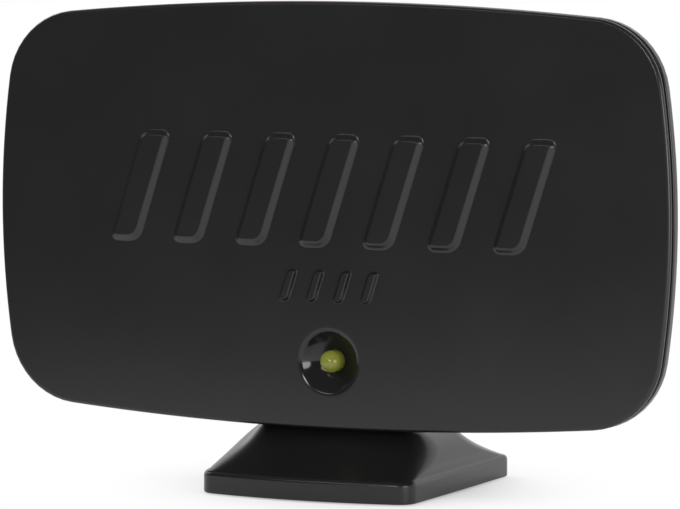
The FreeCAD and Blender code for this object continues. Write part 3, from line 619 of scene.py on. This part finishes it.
# %% Socket: the thread
THREAD_RADIUS = 4.75 * MM
TOOTH_FOOT = ROOT_RADIUS - 0.1 * MM
TOOTH_FILL = 0.98
PITCH = 0.794 * MM
BARE_END = 0.5 * MM
STEPS_A_TURN = 40
nut_low, nut_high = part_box("coax_nut")
thread_start, thread_end = nut_high.y - PITCH, body_high.y - BARE_END
steps = int(((thread_end - thread_start) / PITCH - 1) * STEPS_A_TURN)
tooth = draw_section(barrel, socket_centre, [
    (TOOTH_FOOT, thread_start), (THREAD_RADIUS, thread_start + PITCH / 2),
    (TOOTH_FOOT, thread_start + PITCH * TOOTH_FILL)])
tooth_face = bmesh.ops.contextual_create(barrel, geom=tooth)["faces"][0]
bmesh.ops.spin(barrel, geom=[tooth_face, *tooth_face.edges, *tooth_face.verts], cent=socket_centre,
               axis=(0, 1, 0), dvec=(0, PITCH / STEPS_A_TURN, 0),
               angle=2 * math.pi * steps / STEPS_A_TURN, steps=steps)
add_piece(barrel, "socket_barrel", nickel, ["coax_body"])

# %% Socket: the nut
NUT_EDGE_RADIUS = 0.3 * MM
NUT_BORE_RADIUS = ROOT_RADIUS + 0.15 * MM
nut = bmesh.new()
bmesh.ops.create_circle(nut, cap_ends=True, segments=6, radius=(nut_high.x - nut_low.x) / 2,
                        matrix=Matrix.Translation((0, nut_low.y, socket_centre.z)) @ FACING_VIEWER)
bmesh.ops.rotate(nut, verts=nut.verts, cent=socket_centre, matrix=Matrix.Rotation(math.pi / 6, 3, "Y"))
nut.faces.ensure_lookup_table()
push(nut, nut.faces[0], nut_high.y - nut_low.y)
round_edges(nut, nut.edges[:], NUT_EDGE_RADIUS, segments=3)
older = set(nut.verts)
draw_section(nut, socket_centre, [(NUT_BORE_RADIUS, nut_low.y), (NUT_BORE_RADIUS, nut_high.y)])
bore = spin_section(nut, socket_centre, older)
for y in (nut_low.y, nut_high.y):
    pierce(nut, face_at(nut, y), [ring_at(bore, y)])
add_piece(nut, "socket_nut", nickel, ["coax_nut"])

# %% Socket: the insulator with its entry
CONTACT_HOLE_RADIUS = 0.85 * MM
INSULATOR_EDGE_RADIUS = 0.25 * MM
insulator = bmesh.new()
plug = draw_section(insulator, socket_centre, [
    (CONTACT_HOLE_RADIUS, insulator_low.y), (bore_radius, insulator_low.y), (bore_radius, insulator_high.y),
    (2 * CONTACT_HOLE_RADIUS, insulator_high.y),
    (CONTACT_HOLE_RADIUS, insulator_high.y - CONTACT_HOLE_RADIUS)])
insulator.edges.new((plug[4], plug[0]))
round_corners(insulator, [plug[2]], INSULATOR_EDGE_RADIUS, segments=3)
spin_section(insulator, socket_centre)
add_piece(insulator, "socket_insulator", white_plastic, ["coax_insulator"])

# %% [markdown]
# ## Screws
# Three countersunk screws hold the antenna together: two in the back and one up through the stand. Each is
# spun from its section. The cross recess is the cross of faces left from a three by three grid, extruded
# into the head and narrowed at the bottom, and the head's flat face is filled round it.

# %% Helper: one screw with its cross recess
HEAD_EDGE = 0.15 * MM
HEAD_EDGE_SHARE = 0.97
RECESS_WIDTH = 0.9 * MM
RECESS_DEPTH = 0.9 * MM
RECESS_TAPER = 0.6


def countersunk_screw(bm, top, turn, head_radius, head_height, shank_radius, length):
    """A screw with its head's top at a point; it is made along -Y and then turned."""
    older = set(bm.verts)
    axis_point = Vector((0, 0, 0))
    draw_section(bm, axis_point, [
        (head_radius, 0), (head_radius * HEAD_EDGE_SHARE, -HEAD_EDGE), (shank_radius, -head_height),
        (shank_radius, shank_radius - length), (0, -length)])
    head = spin_section(bm, axis_point, older)
    grid = bmesh.ops.create_grid(bm, x_segments=3, y_segments=3, size=1.5 * RECESS_WIDTH,
                                 matrix=FACING_VIEWER)["verts"]
    middles = {face: face.calc_center_median() for vertex in grid for face in vertex.link_faces}
    corner_faces = [face for face, middle in middles.items()
                    if min(abs(middle.x), abs(middle.z)) > RECESS_WIDTH / 2]
    bmesh.ops.delete(bm, geom=corner_faces, context="FACES")
    cross = [face for face in middles if face.is_valid]
    cross_edges = list(dict.fromkeys(edge for face in cross for edge in face.edges))
    outline = [edge for edge in cross_edges if edge.is_boundary]
    bmesh.ops.triangle_fill(bm, use_beauty=True, edges=outline + ring_at(head, 0))
    sunk = bmesh.ops.extrude_face_region(bm, geom=cross + cross_edges)["geom"]
    bottom = [item for item in sunk if isinstance(item, bmesh.types.BMVert)]
    bmesh.ops.translate(bm, verts=bottom, vec=(0, -RECESS_DEPTH, 0))
    bmesh.ops.scale(bm, verts=bottom, vec=(RECESS_TAPER, 1, RECESS_TAPER))
    drawn = [vertex for vertex in bm.verts if vertex not in older]
    bmesh.ops.transform(bm, matrix=Matrix.Translation(top) @ turn, verts=drawn)


# %% Screws: two in the back, one below
STAND_SCREW = dict(head_radius=3 * MM, head_height=1.7 * MM, shank_radius=1.5 * MM, length=21 * MM)
STAND_SCREW_Y = -1 * MM
CASE_SCREW_TURNS = {-1: math.radians(-5), 1: math.radians(45)}
screws = bmesh.new()
for side, angle in CASE_SCREW_TURNS.items():
    place = Vector((side * case_screw_x, back_y, panel_z))
    countersunk_screw(screws, place, Matrix.Rotation(angle, 4, "Y"), **CASE_SCREW)
place = Vector((0, STAND_SCREW_Y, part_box("screws")[0].z))
countersunk_screw(screws, place, Matrix.Rotation(-math.pi / 2, 4, "X"), **STAND_SCREW)
add_piece(screws, "cross_screws", zinc, ["screws"])

# %% [markdown]
# ## Feet
# Four small rubber pads carry the stand. They are cubes of the size of their nodes with softened edges.

# %% Feet: rubber pads
FOOT_EDGE_RADIUS = 0.35 * MM
for corner in ("front_left", "front_right", "back_left", "back_right"):
    low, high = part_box("foot_pad_" + corner)
    place = Matrix.Translation((low + high) / 2) @ Matrix.Diagonal((*(high - low), 1))
    pad = bmesh.new()
    bmesh.ops.create_cube(pad, size=1, matrix=place)
    round_edges(pad, pad.edges[:], FOOT_EDGE_RADIUS, segments=3)
    add_piece(pad, "rubber_foot_" + corner, rubber, ["foot_pad_" + corner])

# %% [markdown]
# ## Finishes of the solids that stay
# The base plate and the electronics inside are right as they are. They only need their finishes, which go
# into the material slots of their objects.

# %% Give the remaining nodes their finishes
kept_nodes = {
    "led_leads": tin, "circuit_board": laminate, "shield_can": tin, "amplifier_chip": chip_plastic,
    "balun_core": ferrite, "chip_parts": ceramic, "dipole_plate_left": sheet, "dipole_plate_right": sheet,
    "coax_contact": brass, "base_plate": stand_black, "ballast_weight": steel}
for name, material in kept_nodes.items():
    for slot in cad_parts[name].material_slots:
        slot.material = material
print("nodes that stay:", len(kept_nodes))

# %% [markdown]
# ## Studio helpers
# Floor and world both need a smooth change from one value to another and a blend of two shaders, so each
# of these is written once.

# %% Helpers: change a value smoothly and mix two shaders
WHITE = (1, 1, 1, 1)


def smooth_range(tree, value, low, high, at_low=0.0, at_high=1.0):
    """Maps a value from one range to another with soft ends."""
    change = tree.nodes.new("ShaderNodeMapRange")
    change.interpolation_type = "SMOOTHSTEP"
    change.inputs["From Min"].default_value = low
    change.inputs["From Max"].default_value = high
    change.inputs["To Min"].default_value = at_low
    change.inputs["To Max"].default_value = at_high
    tree.links.new(value, change.inputs["Value"])
    return change.outputs["Result"]


def mix_shaders(tree, factor, first, second):
    """Blends two shaders by a factor."""
    blend = tree.nodes.new("ShaderNodeMixShader")
    tree.links.new(factor, blend.inputs["Fac"])
    tree.links.new(first, blend.inputs[1])
    tree.links.new(second, blend.inputs[2])
    return blend.outputs["Shader"]


# %% [markdown]
# ## Floor
# The floor is a plain pale sheet. Close to the antenna it is a matt surface that takes its shadow. Further
# out, camera rays see it fade to plain white, so that no edge shows between floor and background, and
# gloss sees it fade to a dim grey, as the light pool on a table ends in a dim room.

# %% Floor: a pale sheet
FLOOR_HALF_SIDE = 3
FLOOR_COLOUR = (0.92, 0.92, 0.92, 1)
floor_bm = bmesh.new()
bmesh.ops.create_grid(floor_bm, x_segments=1, y_segments=1, size=FLOOR_HALF_SIDE)
floor_mesh = bpy.data.meshes.new("floor")
floor_bm.to_mesh(floor_mesh)
floor_bm.free()
floor = bpy.data.objects.new("floor", floor_mesh)
bpy.context.scene.collection.objects.link(floor)
pale = bpy.data.materials.new("pale floor")
pale.use_nodes = True
floor_tree = pale.node_tree
floor_tree.nodes.remove(floor_tree.nodes["Principled BSDF"])
matt = floor_tree.nodes.new("ShaderNodeBsdfDiffuse")
matt.inputs["Color"].default_value = FLOOR_COLOUR
floor_mesh.materials.append(pale)
print("floor side (m):", round(floor.dimensions.x, 2))

# %% Floor: what the camera and gloss see further out
DIM_GREY = (0.14, 0.14, 0.145, 1)


def fade_floor(shader, ray, colour, centre, near, far):
    """Fades the floor to a plain colour, by the distance from a point, for one kind of ray."""
    nodes, links = floor_tree.nodes, floor_tree.links
    place = nodes.new("ShaderNodeTexCoord")
    away = nodes.new("ShaderNodeVectorMath")
    away.operation = "DISTANCE"
    away.inputs[1].default_value = centre
    links.new(place.outputs["Object"], away.inputs[0])
    path = nodes.new("ShaderNodeLightPath")
    seen = nodes.new("ShaderNodeMath")
    seen.operation = "MULTIPLY"
    links.new(smooth_range(floor_tree, away.outputs["Value"], near, far), seen.inputs[0])
    links.new(path.outputs[ray], seen.inputs[1])
    plain = nodes.new("ShaderNodeEmission")
    plain.inputs["Color"].default_value = colour
    return mix_shaders(floor_tree, seen.outputs["Value"], shader, plain.outputs["Emission"])


shown = fade_floor(matt.outputs["BSDF"], "Is Camera Ray", WHITE, centre=(0, 0, 0), near=0, far=0.065)
shown = fade_floor(shown, "Is Glossy Ray", DIM_GREY, centre=(0.5, 0.6, 0), near=0.9, far=1.12)
floor_tree.links.new(shown, floor_tree.nodes["Material Output"].inputs["Surface"])
print("floor nodes:", len(floor_tree.nodes))

# %% [markdown]
# ## Light
# A white studio wraps the antenna. The world gives an even soft light. Gloss sees it white behind and dim
# where the photographer stands, which is why a black face looks black from the front. Camera rays see it
# plain white. A large soft box high on the left lights the stand's far side, one right of the camera
# lights its right flank, and two small ones near the camera give the gleams on edges, lamp and dish.

# %% Light: the world
DIM_BEFORE_Y = -0.1
WHITE_BEHIND_Y = 0.45
DIM_STRENGTH = 0.12
world = bpy.data.worlds.new("white studio")
bpy.context.scene.world = world
world.use_nodes = True
sky = world.node_tree
soft = sky.nodes["Background"]
glossy = sky.nodes.new("ShaderNodeBackground")
backdrop = sky.nodes.new("ShaderNodeBackground")
for background in (soft, glossy, backdrop):
    background.inputs["Color"].default_value = WHITE
    background.inputs["Strength"].default_value = 1.0
direction = sky.nodes.new("ShaderNodeTexCoord")
split = sky.nodes.new("ShaderNodeSeparateXYZ")
sky.links.new(direction.outputs["Generated"], split.inputs["Vector"])
behind = smooth_range(sky, split.outputs["Y"], DIM_BEFORE_Y, WHITE_BEHIND_Y, DIM_STRENGTH)
sky.links.new(behind, glossy.inputs["Strength"])
path = sky.nodes.new("ShaderNodeLightPath")
lit = mix_shaders(sky, path.outputs["Is Glossy Ray"], soft.outputs["Background"],
                  glossy.outputs["Background"])
lit = mix_shaders(sky, path.outputs["Is Camera Ray"], lit, backdrop.outputs["Background"])
sky.links.new(lit, sky.nodes["World Output"].inputs["Surface"])
print("world nodes:", len(sky.nodes))

# %% Light: soft boxes
def soft_box(name, direction, distance, width, height, power):
    """An oval area lamp in a direction from the panel's middle, facing it."""
    light = bpy.data.lights.new(name, "AREA")
    light.shape = "ELLIPSE"
    light.size = width
    light.size_y = height
    light.energy = power
    box = bpy.data.objects.new(name, light)
    away = Vector(direction).normalized()
    box.location = Vector((0, 0, panel_z)) + away * distance
    box.rotation_euler = (-away).to_track_quat("-Z", "Y").to_euler()
    bpy.context.scene.collection.objects.link(box)


soft_box("high left", (-0.78, 0.27, 0.45), distance=1.0, width=0.8, height=0.7, power=3.4)
soft_box("right of the camera", (0.877, -0.454, 0.03), distance=0.95, width=0.5, height=0.4, power=3.2)
soft_box("left of the camera", (0.1, -0.95, 0.24), distance=1.1, width=0.34, height=0.2, power=1.8)
soft_box("over the camera", (-0.3, -0.78, 0.5), distance=1.1, width=0.5, height=0.15, power=0.6)
print("lamps:", len(bpy.data.lights))

# %% [markdown]
# ## Camera
# The viewing angle was fitted to the panel's outline in the photograph: a long lens from the right and a
# little above. The sensor's width is the picture's long side.

# %% Camera: the photograph's view
CAMERA_PLACE = Vector((430.94, -935.35, 137.03)) * MM
CAMERA_TARGET = Vector((3.44, -16.78, 53.54)) * MM
FOCAL_PIXELS = 4600
PICTURE_WIDTH = 680
SENSOR_WIDTH = 36
camera_data = bpy.data.cameras.new("camera")
camera_data.sensor_width = SENSOR_WIDTH
camera_data.lens = FOCAL_PIXELS / PICTURE_WIDTH * SENSOR_WIDTH
camera = bpy.data.objects.new("camera", camera_data)
camera.location = CAMERA_PLACE
camera.rotation_euler = (CAMERA_TARGET - CAMERA_PLACE).to_track_quat("-Z", "Y").to_euler()
bpy.context.scene.collection.objects.link(camera)
bpy.context.scene.camera = camera
bpy.context.scene.view_settings.view_transform = "Standard"
print("lens (mm):", round(camera_data.lens, 1))
